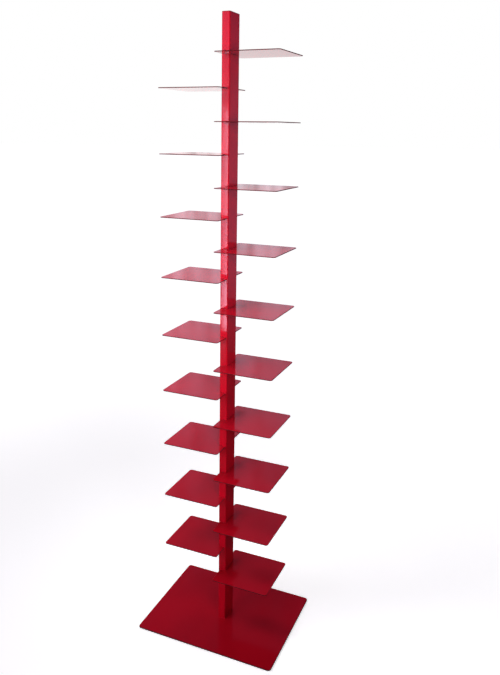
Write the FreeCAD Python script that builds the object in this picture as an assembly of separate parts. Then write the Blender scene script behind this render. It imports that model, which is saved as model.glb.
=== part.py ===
import FreeCAD, Part
import math
import os

# Spine bookshelf. A slim rectangular tube stands on a base plate and carries square
# steel plates that reach out by turns to the right (+X) and to the left (-X).
# Millimetres, +Z up, origin on the floor under the middle of the base.

# base plate
base_width = 406.0
base_depth = 322.0
base_thickness = 4.0
base_corner_radius = 9.0
base_edge_softening = 0.6

# foot pads, one near each corner of the base
pad_radius = 10.0
pad_thickness = 2.0
pad_inset = 22.0
pad_edge_softening = 0.4

# spine tube
column_width = 21.5
column_depth = 57.0
column_wall = 1.5
column_corner_radius = 2.5

# shelves, counted from the top; reaches are measured from the middle of the tube
shelf_count = 19
shelf_reach = 156.5
shelf_ear_reach = 7.0
shelf_depth = 162.0
shelf_thickness = 2.0
shelf_corner_radius = 7.0
shelf_edge_softening = 0.3
shelf_pitch = 77.7
lowest_shelf_rise = 160.0
column_above_top_shelf = 92.4

# halved joint between a shelf and the tube
kerf_clearance = 0.2
notch_clearance = 0.2
joint_end_clearance = 0.1

# cap in the tube's upper end
cap_thickness = 1.5
cap_edge_softening = 0.4
cap_skirt_depth = 14.0
cap_skirt_wall = 1.5
cap_clearance = 0.1

# block with tapped holes, welded inside the tube's lower end
foot_block_height = 18.0
foot_block_clearance = 0.15

# countersunk socket screws, driven from below the base
screw_spacing = 30.0
screw_radius = 3.0
screw_length = 16.0
screw_hole_clearance = 0.3
screw_head_radius = 6.0
screw_head_recess = 0.2
screw_tip_chamfer = 0.8
countersink_clearance = 0.05
thread_clearance = 0.05
tapped_depth_spare = 2.0
socket_across_flats = 4.0
socket_depth = 2.0

# levels and places that follow from the sizes above
base_underside = pad_thickness
base_top = base_underside + base_thickness
lowest_shelf_top = base_top + lowest_shelf_rise
top_shelf_top = lowest_shelf_top + (shelf_count - 1) * shelf_pitch
column_top = top_shelf_top + column_above_top_shelf
column_half_width = column_width / 2
bore_width = column_width - 2 * column_wall
bore_depth = column_depth - 2 * column_wall
bore_corner_radius = max(column_corner_radius - column_wall, 0)
screw_head_bottom = base_underside + screw_head_recess
screw_tip = screw_head_bottom + screw_length
pad_places = [
    (side_x * (base_width / 2 - pad_inset), side_y * (base_depth / 2 - pad_inset))
    for side_x in (-1, 1)
    for side_y in (-1, 1)
]
screw_places = [(0, side * screw_spacing / 2) for side in (-1, 1)]

up = FreeCAD.Vector(0, 0, 1)
overcut = 5.0  # how far a cutting shape runs past the face that it opens


def block(low, high):
    """Box between two corners."""
    size = [b - a for a, b in zip(low, high)]
    return Part.makeBox(*size, FreeCAD.Vector(*low))


def rounded_block(low, high, corner_radius):
    """Box between two corners, with its four upright edges rounded."""
    body = block(low, high)
    if corner_radius <= 0:
        return body
    upright = [edge for edge in body.Edges if abs(edge.tangentAt(edge.FirstParameter).z) > 0.5]
    return body.makeFillet(corner_radius, upright)


def soften(body, levels, size):
    """Chamfer every edge of a body that lies flat at one of the given levels."""
    flat = [
        edge
        for edge in body.Edges
        if any(abs(edge.BoundBox.ZMin - z) < 1e-6 and abs(edge.BoundBox.ZMax - z) < 1e-6 for z in levels)
    ]
    return body.makeChamfer(size, flat)


def post(radius, place, bottom, top):
    """Upright round bar at one place in plan."""
    return Part.makeCylinder(radius, top - bottom, FreeCAD.Vector(*place, bottom), up)


def shelf_level(number):
    """Height of a shelf's upper face; shelf 1 is the top one."""
    return top_shelf_top - (number - 1) * shelf_pitch


def to_its_side(shape, number):
    """Turn a shape made for the right-hand side to the side that this shelf reaches to."""
    if number % 2 == 1:
        return shape
    return shape.rotated(FreeCAD.Vector(0, 0, 0), up, 180)


def make_base_plate():
    """Flat plate with two countersunk holes that open downwards."""
    plate = rounded_block(
        (-base_width / 2, -base_depth / 2, base_underside),
        (base_width / 2, base_depth / 2, base_top),
        base_corner_radius,
    )
    plate = soften(plate, (base_underside, base_top), base_edge_softening)
    hole_radius = screw_radius + screw_hole_clearance
    # a 45 degree cone that lies one clearance off the screw head all round
    mouth_radius = screw_head_radius + screw_head_recess + countersink_clearance * math.sqrt(2)
    for place in screw_places:
        plate = plate.cut(post(hole_radius, place, base_underside - overcut, base_top + overcut))
        mouth = FreeCAD.Vector(*place, base_underside)
        plate = plate.cut(Part.makeCone(mouth_radius, hole_radius, mouth_radius - hole_radius, mouth, up))
    return plate


def make_foot_pads():
    """Thin round pads under the base's corners."""
    pads = [post(pad_radius, place, 0, pad_thickness) for place in pad_places]
    return [soften(pad, (0,), pad_edge_softening) for pad in pads]


def make_kerf(number):
    """Cut that opens half of the tube's width for one shelf, from the side that it enters."""
    level = shelf_level(number)
    kerf = block(
        (0, -column_depth / 2 - overcut, level - shelf_thickness),
        (column_half_width + overcut, column_depth / 2 + overcut, level + kerf_clearance),
    )
    return to_its_side(kerf, number)


def make_spine_column():
    """Rectangular tube with a kerf for each shelf, from alternate sides."""
    half_depth = column_depth / 2
    tube = rounded_block(
        (-column_half_width, -half_depth, base_top),
        (column_half_width, half_depth, column_top - cap_thickness),
        column_corner_radius,
    )
    bore = rounded_block(
        (-bore_width / 2, -bore_depth / 2, base_top - overcut),
        (bore_width / 2, bore_depth / 2, column_top + overcut),
        bore_corner_radius,
    )
    tube = tube.cut(bore)
    return tube.cut([make_kerf(number) for number in range(1, shelf_count + 1)])


def make_shelf(number):
    """Plate whose inner edge is notched, so that an ear passes the front and the back of the tube."""
    level = shelf_level(number)
    plate = rounded_block(
        (-shelf_ear_reach, -shelf_depth / 2, level - shelf_thickness),
        (shelf_reach, shelf_depth / 2, level),
        shelf_corner_radius,
    )
    plate = soften(plate, (level - shelf_thickness, level), shelf_edge_softening)
    notch_half_depth = column_depth / 2 + notch_clearance
    notch = block(
        (-shelf_ear_reach - overcut, -notch_half_depth, level - shelf_thickness - overcut),
        (joint_end_clearance, notch_half_depth, level + overcut),
    )
    return to_its_side(plate.cut(notch), number)


def make_top_cap():
    """Lid with the tube's outline and a skirt that plugs into the bore."""
    half_depth = column_depth / 2
    lid = rounded_block(
        (-column_half_width, -half_depth, column_top - cap_thickness),
        (column_half_width, half_depth, column_top),
        column_corner_radius,
    )
    lid = soften(lid, (column_top,), cap_edge_softening)
    outer_x = bore_width / 2 - cap_clearance
    outer_y = bore_depth / 2 - cap_clearance
    skirt_bottom = column_top - cap_thickness - cap_skirt_depth
    plug = rounded_block(
        (-outer_x, -outer_y, skirt_bottom), (outer_x, outer_y, column_top - cap_thickness), bore_corner_radius
    )
    hollow = block(
        (-outer_x + cap_skirt_wall, -outer_y + cap_skirt_wall, skirt_bottom - overcut),
        (outer_x - cap_skirt_wall, outer_y - cap_skirt_wall, column_top - cap_thickness),
    )
    return lid.fuse(plug.cut(hollow)).removeSplitter()


def make_column_foot():
    """Block in the tube's lower end, with a blind tapped hole over each hole in the base."""
    half_x = bore_width / 2 - foot_block_clearance
    half_y = bore_depth / 2 - foot_block_clearance
    foot = rounded_block(
        (-half_x, -half_y, base_top), (half_x, half_y, base_top + foot_block_height), bore_corner_radius
    )
    for place in screw_places:
        foot = foot.cut(post(screw_radius, place, base_top - overcut, screw_tip + tapped_depth_spare))
    return foot


def make_base_screw(place):
    """Countersunk screw with a hexagonal socket in its head."""
    shank_radius = screw_radius - thread_clearance
    head_height = screw_head_radius - shank_radius
    head = Part.makeCone(
        screw_head_radius, shank_radius, head_height, FreeCAD.Vector(*place, screw_head_bottom), up
    )
    shank = post(shank_radius, place, screw_head_bottom + head_height, screw_tip)
    shank = soften(shank, (screw_tip,), screw_tip_chamfer)
    corner_radius = socket_across_flats / math.sqrt(3)
    corners = [
        FreeCAD.Vector(
            place[0] + corner_radius * math.cos(math.radians(60 * corner)),
            place[1] + corner_radius * math.sin(math.radians(60 * corner)),
            screw_head_bottom,
        )
        for corner in range(7)
    ]
    socket = Part.Face(Part.makePolygon(corners)).extrude(up * socket_depth)
    return head.fuse(shank).removeSplitter().cut(socket)


def write(node, solids):
    """Write one node's solids to its own file."""
    Part.makeCompound(solids).exportStep(f"parts/{node}.step")


def main():
    os.makedirs("parts", exist_ok=True)
    write("base_plate", [make_base_plate()])
    write("foot_pads", make_foot_pads())
    write("spine_column", [make_spine_column()])
    write("column_foot", [make_column_foot()])
    write("base_screws", [make_base_screw(place) for place in screw_places])
    write("top_cap", [make_top_cap()])
    for number in range(1, shelf_count + 1):
        write(f"shelf_{number:02d}", [make_shelf(number)])
    print(f"overall height {column_top:.1f} mm, {shelf_count} shelves")


main()
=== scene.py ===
import math
import bpy
from mathutils import Matrix, Vector

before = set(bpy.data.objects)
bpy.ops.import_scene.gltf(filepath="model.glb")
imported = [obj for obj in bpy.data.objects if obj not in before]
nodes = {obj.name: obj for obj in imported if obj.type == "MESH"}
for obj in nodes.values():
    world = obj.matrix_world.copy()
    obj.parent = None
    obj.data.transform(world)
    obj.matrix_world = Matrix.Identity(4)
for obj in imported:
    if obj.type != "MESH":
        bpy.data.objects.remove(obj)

scene = bpy.context.scene
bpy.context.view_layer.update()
print("frame loaded:", len(nodes), "pieces")


# camera
cameraSettings = {
    "place": (0.7207, -1.5955, 1.3896),  # metres, at chest height, in front of the spine and to its right
    "azimuth": 23.776,                   # degrees round from looking along +Y
    "down": 14.813,                      # degrees below level
    "roll": 0.652,                       # degrees, right side raised
    "sensor": 36,                        # mm, along the picture's long side
    "lens": 36.75,                       # mm
    "shift": (0.023, -0.0375),           # shares of the picture's long side
}


def makeCamera(settings):
    azimuth, down, roll = (math.radians(settings[key]) for key in ("azimuth", "down", "roll"))
    levelPart = math.cos(down)
    ahead = Vector((-math.sin(azimuth) * levelPart, math.cos(azimuth) * levelPart, -math.sin(down)))
    levelRight = ahead.cross(Vector((0, 0, 1))).normalized()
    levelUp = levelRight.cross(ahead)
    right = levelRight * math.cos(roll) + levelUp * math.sin(roll)
    up = right.cross(ahead)
    data = bpy.data.cameras.new("standingView")
    data.sensor_width = settings["sensor"]
    data.lens = settings["lens"]
    data.shift_x, data.shift_y = settings["shift"]
    camera = bpy.data.objects.new("standingView", data)
    turn = Matrix((right, up, -ahead)).transposed().to_4x4()
    camera.matrix_world = Matrix.Translation(settings["place"]) @ turn
    scene.collection.objects.link(camera)
    scene.camera = camera


makeCamera(cameraSettings)
print("camera made")


# shared helpers for materials
def linearColour(hexCode):
    # sRGB hex to the linear colour that shaders use
    parts = [int(hexCode[i:i + 2], 16) / 255 for i in (1, 3, 5)]
    return [*(p / 12.92 if p <= 0.04045 else ((p + 0.055) / 1.055) ** 2.4 for p in parts), 1]


def addNode(tree, kind, settings, links=None):
    # a settings key is a property of the node, or the name or number of one of its inputs
    node = tree.nodes.new(kind)
    for key, value in settings.items():
        if isinstance(key, str) and hasattr(node, key):
            setattr(node, key, value)
        else:
            node.inputs[key].default_value = value
    for key, source in (links or {}).items():
        tree.links.new(source, node.inputs[key])
    return node


def newMaterial(name):
    material = bpy.data.materials.new(name)
    material.use_nodes = True
    tree = material.node_tree
    tree.nodes.clear()
    return material, tree


def fillRamp(ramp, colours):
    # colours as pairs of place and hex; a new ramp has two stops, and the second one goes
    ramp.elements.remove(ramp.elements[1])
    ramp.elements[0].position = colours[0][0]
    for place, _ in colours[1:]:
        ramp.elements.new(place)
    for stop, (_, hexCode) in zip(ramp.elements, colours):
        stop.color = linearColour(hexCode)


mmPerMetre = 1000


def perMetre(millimetres):
    # texture scale that gives a pattern of this size
    return mmPerMetre / millimetres


# Gloss polyester powder coat, sprayed dry on steel sheet and baked. It flows into one hard glassy
# skin: deep even colour, mirror-like at a low angle, faint orange peel, and a little dust and
# finger grease that only shows in the gloss. Sharp edges and rims get painted shade, dark and rough, where
# the film also draws thin.
powderCoat = {
    "colour": "#CD0D24",
    "deepColour": "#B80A1F",     # where the film is a touch thicker
    "edgeShadeAndThinFilmColour": "#4E0710",     # painted shade on cut edges and rims, for the dark they reflect, where the thin film also shows
    "cloudSize": 140,            # mm, drift in film thickness
    "peelSize": 2.6,             # mm, orange peel
    "peelHeight": 0.012,         # mm
    "sheetWaveSize": 75,         # mm, flatness of thin sheet
    "sheetWaveHeight": 0.10,     # mm
    "smudgeSize": 34,            # mm, wiped dust and finger marks
    "smudgeGrain": 0.62,         # share of fine detail in them
    "smudgeSwirl": 0.8,          # how far wiping bends them
    "smudgeLevels": (0.38, 0.72),    # levels of the pattern between which the gloss dulls
    "cleanRoughness": 0.055,
    "smudgeRoughness": 0.13,
    "rimWidth": 2.2,             # mm, width of the painted edge shade and thin film beside an edge
    "rimTurn": (0.93, 0.75),     # how far rounded and true normal agree where a rim starts and is full
    "rimShare": 0.8,             # how much of the edge's look a rim takes at most
    "cutTilt": (0.85, 0.6),      # upward part of the normal where a face starts to be a cut edge and is one
    "edgeRoughness": 0.7,
    "ior": 1.5,
}


def makePowderCoat(name, settings, cutEdges):
    material, tree = newMaterial(name)
    coords = addNode(tree, "ShaderNodeTexCoord", {}).outputs["Object"]
    clouds = addNode(tree, "ShaderNodeTexNoise", {"Scale": perMetre(settings["cloudSize"]), "Detail": 3},
                     {"Vector": coords})
    smudges = addNode(tree, "ShaderNodeTexNoise",
                      {"Scale": perMetre(settings["smudgeSize"]), "Detail": 6,
                       "Roughness": settings["smudgeGrain"], "Distortion": settings["smudgeSwirl"]},
                      {"Vector": coords})
    peel = addNode(tree, "ShaderNodeTexNoise", {"Scale": perMetre(settings["peelSize"]), "Detail": 1},
                   {"Vector": coords})
    waves = addNode(tree, "ShaderNodeTexNoise", {"Scale": perMetre(settings["sheetWaveSize"]), "Detail": 1},
                    {"Vector": coords})
    film = addNode(tree, "ShaderNodeMix",
                   {"data_type": "RGBA", 6: linearColour(settings["colour"]),
                    7: linearColour(settings["deepColour"])},
                   {0: clouds.outputs["Fac"]})
    # rims: where a rounded normal leaves the true one; they get painted edge shade
    rounded = addNode(tree, "ShaderNodeBevel", {"samples": 4, "Radius": settings["rimWidth"] / mmPerMetre})
    trueNormal = addNode(tree, "ShaderNodeNewGeometry", {}).outputs["True Normal"]
    agreement = addNode(tree, "ShaderNodeVectorMath", {"operation": "DOT_PRODUCT"},
                        {0: rounded.outputs["Normal"], 1: trueNormal})
    rimStart, rimFull = settings["rimTurn"]
    rim = addNode(tree, "ShaderNodeMapRange",
                  {"From Min": rimStart, "From Max": rimFull, "To Min": 0.0, "To Max": settings["rimShare"]},
                  {"Value": agreement.outputs["Value"]})
    edge = rim.outputs["Result"]
    if cutEdges:
        # the cut edges of level sheet are its faces that look sideways; they get painted edge shade too
        upward = addNode(tree, "ShaderNodeSeparateXYZ", {}, {0: trueNormal}).outputs["Z"]
        tilt = addNode(tree, "ShaderNodeMath", {"operation": "ABSOLUTE"}, {0: upward})
        cutStart, cutFull = settings["cutTilt"]
        cut = addNode(tree, "ShaderNodeMapRange",
                      {"From Min": cutStart, "From Max": cutFull, "To Min": 0.0, "To Max": 1.0},
                      {"Value": tilt.outputs[0]})
        stronger = addNode(tree, "ShaderNodeMath", {"operation": "MAXIMUM"},
                           {0: edge, 1: cut.outputs["Result"]})
        edge = stronger.outputs[0]
    # painted shade: the dark edge colour is mixed into the film over rims and cut edges
    colour = addNode(tree, "ShaderNodeMix", {"data_type": "RGBA", 7: linearColour(settings["edgeShadeAndThinFilmColour"])},
                     {0: edge, 6: film.outputs[2]})
    clean, smudged = settings["smudgeLevels"]
    gloss = addNode(tree, "ShaderNodeMapRange",
                    {"From Min": clean, "From Max": smudged, "To Min": settings["cleanRoughness"],
                     "To Max": settings["smudgeRoughness"]},
                    {"Value": smudges.outputs["Fac"]})
    roughness = addNode(tree, "ShaderNodeMath", {"operation": "MULTIPLY_ADD", 1: settings["edgeRoughness"]},
                        {0: edge, 2: gloss.outputs["Result"]})
    sheetBump = addNode(tree, "ShaderNodeBump", {"Distance": settings["sheetWaveHeight"] / mmPerMetre},
                        {"Height": waves.outputs["Fac"]})
    peelBump = addNode(tree, "ShaderNodeBump", {"Distance": settings["peelHeight"] / mmPerMetre},
                       {"Height": peel.outputs["Fac"], "Normal": sheetBump.outputs["Normal"]})
    shader = addNode(tree, "ShaderNodeBsdfPrincipled", {"IOR": settings["ior"]},
                     {"Base Color": colour.outputs[2], "Roughness": roughness.outputs[0],
                      "Normal": peelBump.outputs["Normal"]})
    addNode(tree, "ShaderNodeOutputMaterial", {}, {"Surface": shader.outputs["BSDF"]})
    return material


# Zinc-plated steel screws: barrel-plated, so a soft bluish metal grain with faint yellow bloom.
zincPlate = {
    "colour": "#B9BCC2",
    "bloomColour": "#C4BFA8",
    "bloomSize": 4,              # mm
    "grainSize": 0.4,            # mm, drawn coarser than the real plating so that it shows
    "grainHeight": 0.01,         # mm
    "roughness": (0.28, 0.45),
}


def makeZincPlate(settings):
    material, tree = newMaterial("zincPlatedSteel")
    coords = addNode(tree, "ShaderNodeTexCoord", {}).outputs["Object"]
    bloom = addNode(tree, "ShaderNodeTexNoise", {"Scale": perMetre(settings["bloomSize"]), "Detail": 4},
                    {"Vector": coords})
    grain = addNode(tree, "ShaderNodeTexNoise", {"Scale": perMetre(settings["grainSize"]), "Detail": 2},
                    {"Vector": coords})
    colour = addNode(tree, "ShaderNodeMix",
                     {"data_type": "RGBA", 6: linearColour(settings["colour"]),
                      7: linearColour(settings["bloomColour"])},
                     {0: bloom.outputs["Fac"]})
    low, high = settings["roughness"]
    gloss = addNode(tree, "ShaderNodeMapRange", {"To Min": low, "To Max": high},
                    {"Value": bloom.outputs["Fac"]})
    bump = addNode(tree, "ShaderNodeBump", {"Distance": settings["grainHeight"] / mmPerMetre},
                   {"Height": grain.outputs["Fac"]})
    shader = addNode(tree, "ShaderNodeBsdfPrincipled", {"Metallic": 1},
                     {"Base Color": colour.outputs[2], "Roughness": gloss.outputs["Result"],
                      "Normal": bump.outputs["Normal"]})
    addNode(tree, "ShaderNodeOutputMaterial", {}, {"Surface": shader.outputs["BSDF"]})
    return material


# Mill-finish steel bar, sawn and drilled: grey scale with fine rolling marks along its length.
millSteel = {
    "colour": "#8D8C8B",
    "scaleColour": "#5B5A5C",
    "patchSize": 12,             # mm
    "markSize": 0.8,             # mm, rolling marks
    "markHeight": 0.02,          # mm
    "markStretch": (1, 0.05, 1),     # drawn out along the block's length, which lies along Y
    "roughness": (0.38, 0.6),
}


def makeMillSteel(settings):
    material, tree = newMaterial("millSteel")
    coords = addNode(tree, "ShaderNodeTexCoord", {}).outputs["Object"]
    patches = addNode(tree, "ShaderNodeTexNoise", {"Scale": perMetre(settings["patchSize"]), "Detail": 5},
                      {"Vector": coords})
    stretched = addNode(tree, "ShaderNodeMapping", {"Scale": settings["markStretch"]}, {"Vector": coords})
    marks = addNode(tree, "ShaderNodeTexNoise", {"Scale": perMetre(settings["markSize"]), "Detail": 2},
                    {"Vector": stretched.outputs["Vector"]})
    colour = addNode(tree, "ShaderNodeMix",
                     {"data_type": "RGBA", 6: linearColour(settings["colour"]),
                      7: linearColour(settings["scaleColour"])},
                     {0: patches.outputs["Fac"]})
    low, high = settings["roughness"]
    gloss = addNode(tree, "ShaderNodeMapRange", {"To Min": low, "To Max": high},
                    {"Value": patches.outputs["Fac"]})
    bump = addNode(tree, "ShaderNodeBump", {"Distance": settings["markHeight"] / mmPerMetre},
                   {"Height": marks.outputs["Fac"]})
    shader = addNode(tree, "ShaderNodeBsdfPrincipled", {"Metallic": 1},
                     {"Base Color": colour.outputs[2], "Roughness": gloss.outputs["Result"],
                      "Normal": bump.outputs["Normal"]})
    addNode(tree, "ShaderNodeOutputMaterial", {}, {"Surface": shader.outputs["BSDF"]})
    return material


# Moulded rubber pads: dull black with a fine grain and pale dust in the grain.
padRubber = {
    "colour": "#1B1B1C",
    "dustColour": "#3A3835",
    "grainSize": 0.7,            # mm
    "grainHeight": 0.05,         # mm
    "dustSize": 5,               # mm
    "roughness": (0.62, 0.85),
    "ior": 1.52,
}


def makePadRubber(settings):
    material, tree = newMaterial("mouldedRubber")
    coords = addNode(tree, "ShaderNodeTexCoord", {}).outputs["Object"]
    dust = addNode(tree, "ShaderNodeTexNoise", {"Scale": perMetre(settings["dustSize"]), "Detail": 5},
                   {"Vector": coords})
    grain = addNode(tree, "ShaderNodeTexVoronoi", {"Scale": perMetre(settings["grainSize"])},
                    {"Vector": coords})
    colour = addNode(tree, "ShaderNodeMix",
                     {"data_type": "RGBA", 6: linearColour(settings["colour"]),
                      7: linearColour(settings["dustColour"])},
                     {0: dust.outputs["Fac"]})
    low, high = settings["roughness"]
    gloss = addNode(tree, "ShaderNodeMapRange", {"To Min": low, "To Max": high},
                    {"Value": dust.outputs["Fac"]})
    bump = addNode(tree, "ShaderNodeBump", {"Distance": settings["grainHeight"] / mmPerMetre},
                   {"Height": grain.outputs["Distance"]})
    shader = addNode(tree, "ShaderNodeBsdfPrincipled", {"IOR": settings["ior"]},
                     {"Base Color": colour.outputs[2], "Roughness": gloss.outputs["Result"],
                      "Normal": bump.outputs["Normal"]})
    addNode(tree, "ShaderNodeOutputMaterial", {}, {"Surface": shader.outputs["BSDF"]})
    return material


def dress(material, names):
    # puts one material on the slots of these pieces
    for name in names:
        slots = nodes[name].data.materials
        slots.clear()
        slots.append(material)


shelfNames = sorted(name for name in nodes if name.startswith("shelf_"))
dress(makePowderCoat("powderCoatOnSheet", powderCoat, cutEdges=True), ["base_plate", *shelfNames])
dress(makePowderCoat("powderCoatOnTube", powderCoat, cutEdges=False), ["spine_column", "top_cap"])
dress(makeZincPlate(zincPlate), ["base_screws"])
dress(makeMillSteel(millSteel), ["column_foot"])
dress(makePadRubber(padRubber), ["foot_pads"])
print("materials on", len(nodes), "pieces")


# walls of the room as the gloss finds them, by bearing in degrees: 0 is to the right, 90 behind the tower,
# and a light window stretch from -132 to -102
walls = [
    (-180, "#5A5163"), (-150, "#5A5163"), (-132, "#E3CFE6"), (-114, "#FFDCFF"),
    (-102, "#F3D2F3"), (-92, "#2B2531"), (30, "#2B2531"), (50, "#6A6079"),
    (78, "#6E637E"), (90, "#99949F"), (100, "#B8B5BC"), (110, "#D2D1D3"),
    (125, "#E3E3E3"), (138, "#E3E3E3"), (155, "#5A5163"), (180, "#5A5163"),
]


def addWallColour(tree, along, across):
    # colour of the wall that a level direction meets
    bearing = addNode(tree, "ShaderNodeMath", {"operation": "ARCTAN2"}, {0: across, 1: along})
    turn = addNode(tree, "ShaderNodeMapRange", {"From Min": -math.pi, "From Max": math.pi},
                   {0: bearing.outputs[0]})
    colour = addNode(tree, "ShaderNodeValToRGB", {}, {"Fac": turn.outputs["Result"]})
    fillRamp(colour.color_ramp, [((degrees + 180) / 360, hexCode) for degrees, hexCode in walls])
    return colour.outputs["Color"]


# floor: plain and pale, white to the camera, and it keeps the tower's shadow
floorSettings = {
    "radius": 60.0,              # metres
    "corners": 96,
    "colour": "#A3A3A4",
    "litShare": 0.85,            # how much lamp light it gives back to the camera, which the shadow takes
    "glowNear": 0.65,            # white that it adds by itself, close to the tower and far from it
    "glowFar": 1.0,
    "glossNear": 0.078,          # brightness that the tower's gloss picks up from it
    "glossFar": 1.58,
    "glowEdges": (0.35, 2.4),    # metres from the tower
    "glossEdges": (1.2, 6.0),
}


def makeFloor(settings):
    turn = 2 * math.pi / settings["corners"]
    rim = [(settings["radius"] * math.cos(turn * i), settings["radius"] * math.sin(turn * i), 0)
           for i in range(settings["corners"])]
    mesh = bpy.data.meshes.new("floor")
    mesh.from_pydata(rim, [], [range(settings["corners"])])
    floor = bpy.data.objects.new("floor", mesh)
    scene.collection.objects.link(floor)
    material, tree = newMaterial("paleFloor")
    rays = addNode(tree, "ShaderNodeLightPath", {})
    place = addNode(tree, "ShaderNodeNewGeometry", {}).outputs["Position"]
    distance = addNode(tree, "ShaderNodeVectorMath", {"operation": "LENGTH"}, {0: place}).outputs["Value"]
    glowStart, glowEnd = settings["glowEdges"]
    glow = addNode(tree, "ShaderNodeMapRange",
                   {"interpolation_type": "SMOOTHSTEP", "From Min": glowStart, "From Max": glowEnd,
                    "To Min": settings["glowNear"], "To Max": settings["glowFar"]},
                   {"Value": distance})
    glossStart, glossEnd = settings["glossEdges"]
    gloss = addNode(tree, "ShaderNodeMapRange",
                    {"interpolation_type": "SMOOTHSTEP", "From Min": glossStart, "From Max": glossEnd,
                     "To Min": settings["glossNear"], "To Max": settings["glossFar"]},
                    {"Value": distance})
    plain = addNode(tree, "ShaderNodeBsdfDiffuse", {"Color": linearColour(settings["colour"])})
    share = settings["litShare"]
    lit = addNode(tree, "ShaderNodeBsdfDiffuse", {"Color": (share, share, share, 1)})
    white = addNode(tree, "ShaderNodeEmission", {}, {"Strength": glow.outputs["Result"]})
    seen = addNode(tree, "ShaderNodeAddShader", {}, {0: lit.outputs[0], 1: white.outputs[0]})
    parts = addNode(tree, "ShaderNodeSeparateXYZ", {}, {0: place})
    wall = addWallColour(tree, parts.outputs["X"], parts.outputs["Y"])
    mirrored = addNode(tree, "ShaderNodeEmission", {}, {"Color": wall, "Strength": gloss.outputs["Result"]})
    forGloss = addNode(tree, "ShaderNodeMixShader", {},
                       {0: rays.outputs["Is Glossy Ray"], 1: plain.outputs[0], 2: mirrored.outputs[0]})
    both = addNode(tree, "ShaderNodeMixShader", {},
                   {0: rays.outputs["Is Camera Ray"], 1: forGloss.outputs[0], 2: seen.outputs[0]})
    addNode(tree, "ShaderNodeOutputMaterial", {}, {"Surface": both.outputs[0]})
    mesh.materials.append(material)


makeFloor(floorSettings)


# studio: a surround that is bright at eye level and cooler and darker overhead, tinted by the walls
surround = {
    "level": 1.45,               # brightness at the horizon
    "ramp": [                    # sine of the height above the horizon, and the surround's colour there
        (0.03, "#FFFFFF"), (0.08, "#E7DFE8"), (0.22, "#E2D8EC"),
        (0.34, "#C3B7D2"), (0.45, "#8E829F"), (0.60, "#453F55"),
    ],
    "shapeScale": (55, 55, 5),   # soft upright shapes of a room, as gloss shows them
    "shapeEdges": (0.35, 0.65),  # levels of the noise where they are darkest and brightest
    "shapeLevels": (0.62, 1.22),     # their darkest and brightest, as shares of the level
}


def makeSurround(settings):
    world = bpy.data.worlds.new("studio")
    scene.world = world
    world.use_nodes = True
    tree = world.node_tree
    tree.nodes.clear()
    rays = addNode(tree, "ShaderNodeLightPath", {})
    direction = addNode(tree, "ShaderNodeTexCoord", {}).outputs["Generated"]
    parts = addNode(tree, "ShaderNodeSeparateXYZ", {}, {0: direction})
    colour = addNode(tree, "ShaderNodeValToRGB", {}, {"Fac": parts.outputs["Z"]})
    fillRamp(colour.color_ramp, settings["ramp"])
    wall = addWallColour(tree, parts.outputs["X"], parts.outputs["Y"])
    upright = addNode(tree, "ShaderNodeMapping", {"Scale": settings["shapeScale"]}, {"Vector": direction})
    room = addNode(tree, "ShaderNodeTexNoise", {"Scale": 1.0, "Detail": 2},
                   {"Vector": upright.outputs["Vector"]})
    darkAt, lightAt = settings["shapeEdges"]
    dim, bright = (share * settings["level"] for share in settings["shapeLevels"])
    shapes = addNode(tree, "ShaderNodeMapRange",
                     {"From Min": darkAt, "From Max": lightAt, "To Min": dim, "To Max": bright},
                     {"Value": room.outputs["Fac"]})
    shaded = addNode(tree, "ShaderNodeMix", {"data_type": "RGBA", "blend_type": "MULTIPLY", 0: 1.0},
                     {6: colour.outputs["Color"], 7: wall})
    studio = addNode(tree, "ShaderNodeBackground", {},
                     {"Color": shaded.outputs[2], "Strength": shapes.outputs["Result"]})
    white = addNode(tree, "ShaderNodeBackground", {"Color": (1, 1, 1, 1), "Strength": 1.0})
    both = addNode(tree, "ShaderNodeMixShader", {},
                   {0: rays.outputs["Is Camera Ray"], 1: studio.outputs[0], 2: white.outputs[0]})
    addNode(tree, "ShaderNodeOutputWorld", {}, {"Surface": both.outputs[0]})


makeSurround(surround)


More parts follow.
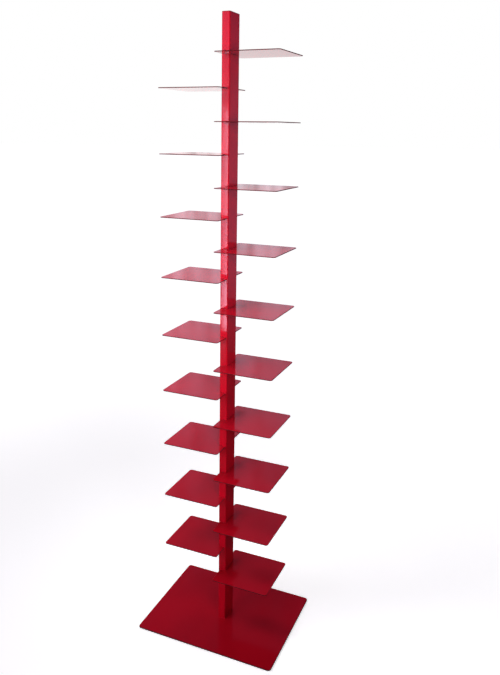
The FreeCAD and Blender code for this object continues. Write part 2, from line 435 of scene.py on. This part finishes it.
# lamps: place, aim, width and height in metres, spread in degrees, and whether the gloss shows them
lamps = {
    "windowPane": {"place": (-0.822, -2.083, 1.01), "aim": (0, 0, 1.01), "size": (0.22, 0.98), "watts": 3.5,
                   "spread": 180, "colour": "#F3E4FF", "mirrored": True},
    "windowFoot": {"place": (-0.822, -2.083, 0.38), "aim": (0, 0, 0.38), "size": (0.22, 0.28), "watts": 2.2,
                   "spread": 180, "colour": "#F3E4FF", "mirrored": True},
    "leftKey": {"place": (-0.7, -1.5, 1.3), "aim": (0, 0, 1.05), "size": (0.7, 0.7), "watts": 2.2,
                "spread": 70, "colour": "#FFFFFF", "mirrored": False},
    "rightFill": {"place": (1.5, -1.5, 1.4), "aim": (0, 0, 1.2), "size": (0.7, 0.9), "watts": 4.8,
                  "spread": 72, "colour": "#FFFFFF", "mirrored": False},
    "leftTop": {"place": (-0.9, -0.7, 2.1), "aim": (0, 0, 1.0), "size": (0.8, 0.8), "watts": 2.5,
                "spread": 75, "colour": "#FFFFFF", "mirrored": False},
    "topKey": {"place": (0.1, -0.9, 2.6), "aim": (0, 0, 1.25), "size": (0.8, 0.8), "watts": 1.3,
               "spread": 75, "colour": "#FFFFFF", "mirrored": False},
    "backTop": {"place": (-0.6, 0.9, 2.3), "aim": (0, 0, 1.3), "size": (0.7, 0.7), "watts": 3.0,
                "spread": 90, "colour": "#FFFFFF", "mirrored": False},
    "floorBounce": {"place": (-0.5, 1.5, 0.5), "aim": (0, 0, 1.5), "size": (0.8, 0.8), "watts": 10.0,
                    "spread": 120, "colour": "#FFFFFF", "mirrored": False},
}


# the window strips light only the tube and the floor, so that no plate flashes white opposite them
windowLit = bpy.data.collections.new("windowLit")
for piece in (nodes["spine_column"], nodes["top_cap"], bpy.data.objects["floor"]):
    windowLit.objects.link(piece)


def makeLamp(name, settings):
    data = bpy.data.lights.new(name, "AREA")
    data.shape = "RECTANGLE"
    data.size, data.size_y = settings["size"]
    data.energy = settings["watts"]
    data.spread = math.radians(settings["spread"])
    data.color = linearColour(settings["colour"])[:3]
    lamp = bpy.data.objects.new(name, data)
    place = Vector(settings["place"])
    lamp.location = place
    lamp.rotation_euler = (Vector(settings["aim"]) - place).to_track_quat("-Z", "Y").to_euler()
    lamp.visible_camera = False
    lamp.visible_glossy = settings["mirrored"]
    if settings["mirrored"]:
        lamp.light_linking.receiver_collection = windowLit
    scene.collection.objects.link(lamp)


for lampName, lampSettings in lamps.items():
    makeLamp(lampName, lampSettings)
scene.view_settings.view_transform = "Standard"
print("floor, surround and", len(lamps), "lamps made")
